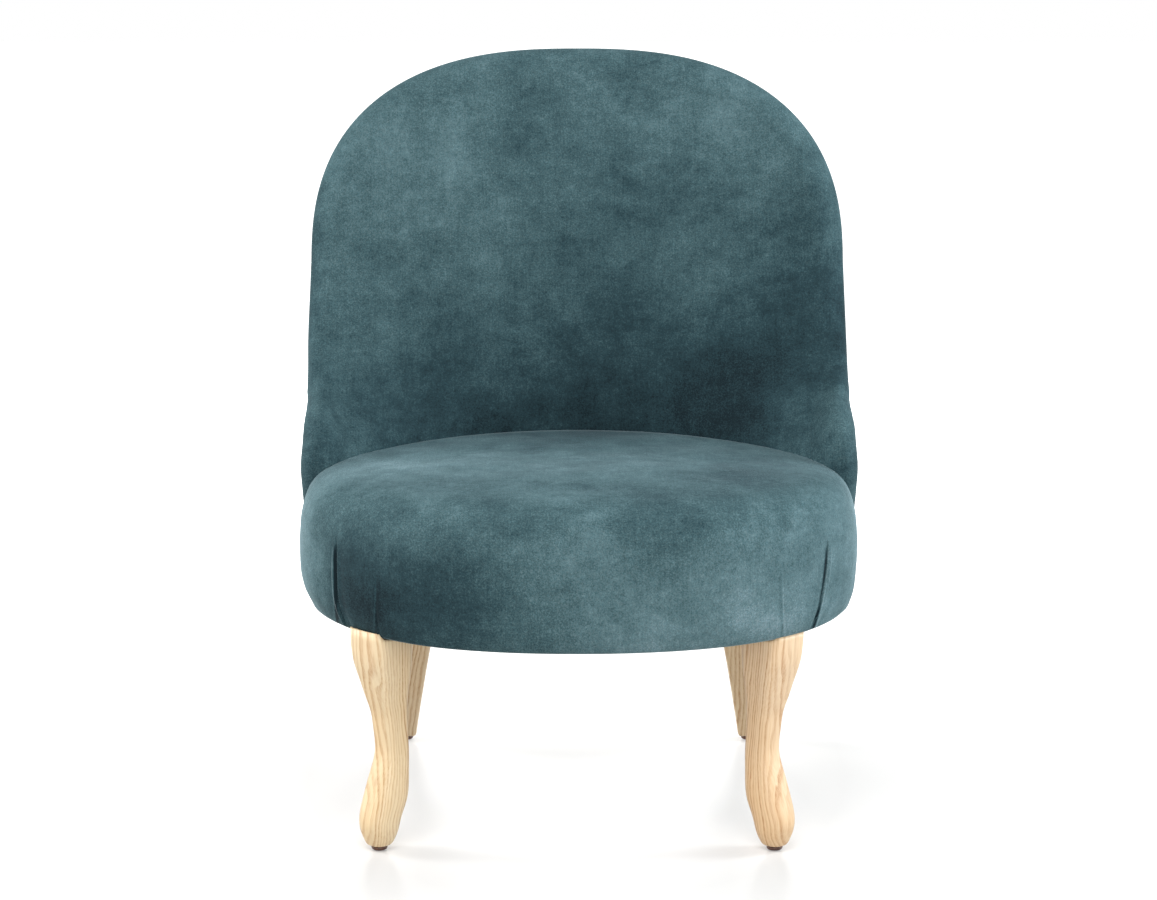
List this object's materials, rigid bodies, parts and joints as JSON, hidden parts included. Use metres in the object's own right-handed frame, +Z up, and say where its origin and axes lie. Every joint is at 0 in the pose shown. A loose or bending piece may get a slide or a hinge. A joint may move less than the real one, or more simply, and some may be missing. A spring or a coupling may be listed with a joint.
{
  "type": "slipper chair",
  "caption": "Low upholstered chair with an arched padded back whose wings wrap round a domed round-fronted seat, on cabriole front legs and raked back legs.",
  "frame": {"origin": "middle of the footprint of the chair's box, on the floor", "axes": "+Z up, -Y towards the front of the seat, +X towards the chair's right side as seen from the front"},
  "size_m": [0.5768, 0.5708, 0.7759],
  "materials": {
    "velvet": "matte",
    "ash": "satin",
    "beech": "matte",
    "foam": "matte",
    "wadding": "matte",
    "jute": "matte",
    "cambric": "matte",
    "board": "matte",
    "nylon": "satin",
    "steel": "satin"
  },
  "bodies": {
    "root": {"leg_front_left": "ash", "glide_front_left": "nylon", "leg_bolt_front_left": "steel", "leg_nut_front_left": "steel", "corner_block_front_left": "beech", "leg_rear_left": "ash", "glide_rear_left": "nylon", "leg_bolt_rear_left": "steel", "leg_nut_rear_left": "steel", "corner_block_rear_left": "beech", "leg_front_right": "ash", "glide_front_right": "nylon", "leg_bolt_front_right": "steel", "leg_nut_front_right": "steel", "corner_block_front_right": "beech", "leg_rear_right": "ash", "glide_rear_right": "nylon", "leg_bolt_rear_right": "steel", "leg_nut_rear_right": "steel", "corner_block_rear_right": "beech", "front_rail": "beech", "side_rail_right": "beech", "rear_rail": "beech", "side_rail_left": "beech", "back_stile_left": "beech", "back_stile_right": "beech", "back_upright_left": "beech", "back_upright_right": "beech", "back_arch_rail": "beech", "back_stay_rail": "beech", "seat_web_long_1": "jute", "seat_web_long_2": "jute", "seat_web_long_3": "jute", "seat_web_long_4": "jute", "seat_web_long_5": "jute", "seat_web_cross_1": "jute", "back_web_cross_1": "jute", "seat_web_cross_2": "jute", "back_web_cross_2": "jute", "seat_web_cross_3": "jute", "back_web_cross_3": "jute", "seat_web_cross_4": "jute", "back_web_cross_4": "jute", "back_web_upright_1": "jute", "back_web_upright_2": "jute", "back_web_upright_3": "jute", "seat_hessian": "jute", "back_foam": "foam", "seat_foam": "foam", "back_wadding": "wadding", "back_outside_wadding": "wadding", "seat_wadding": "wadding", "back_inside_cover": "velvet", "back_outside_cover": "velvet", "seat_cover": "velvet", "back_outside_panel": "board", "dust_cover": "cambric"}
  },
  "joints": []
}
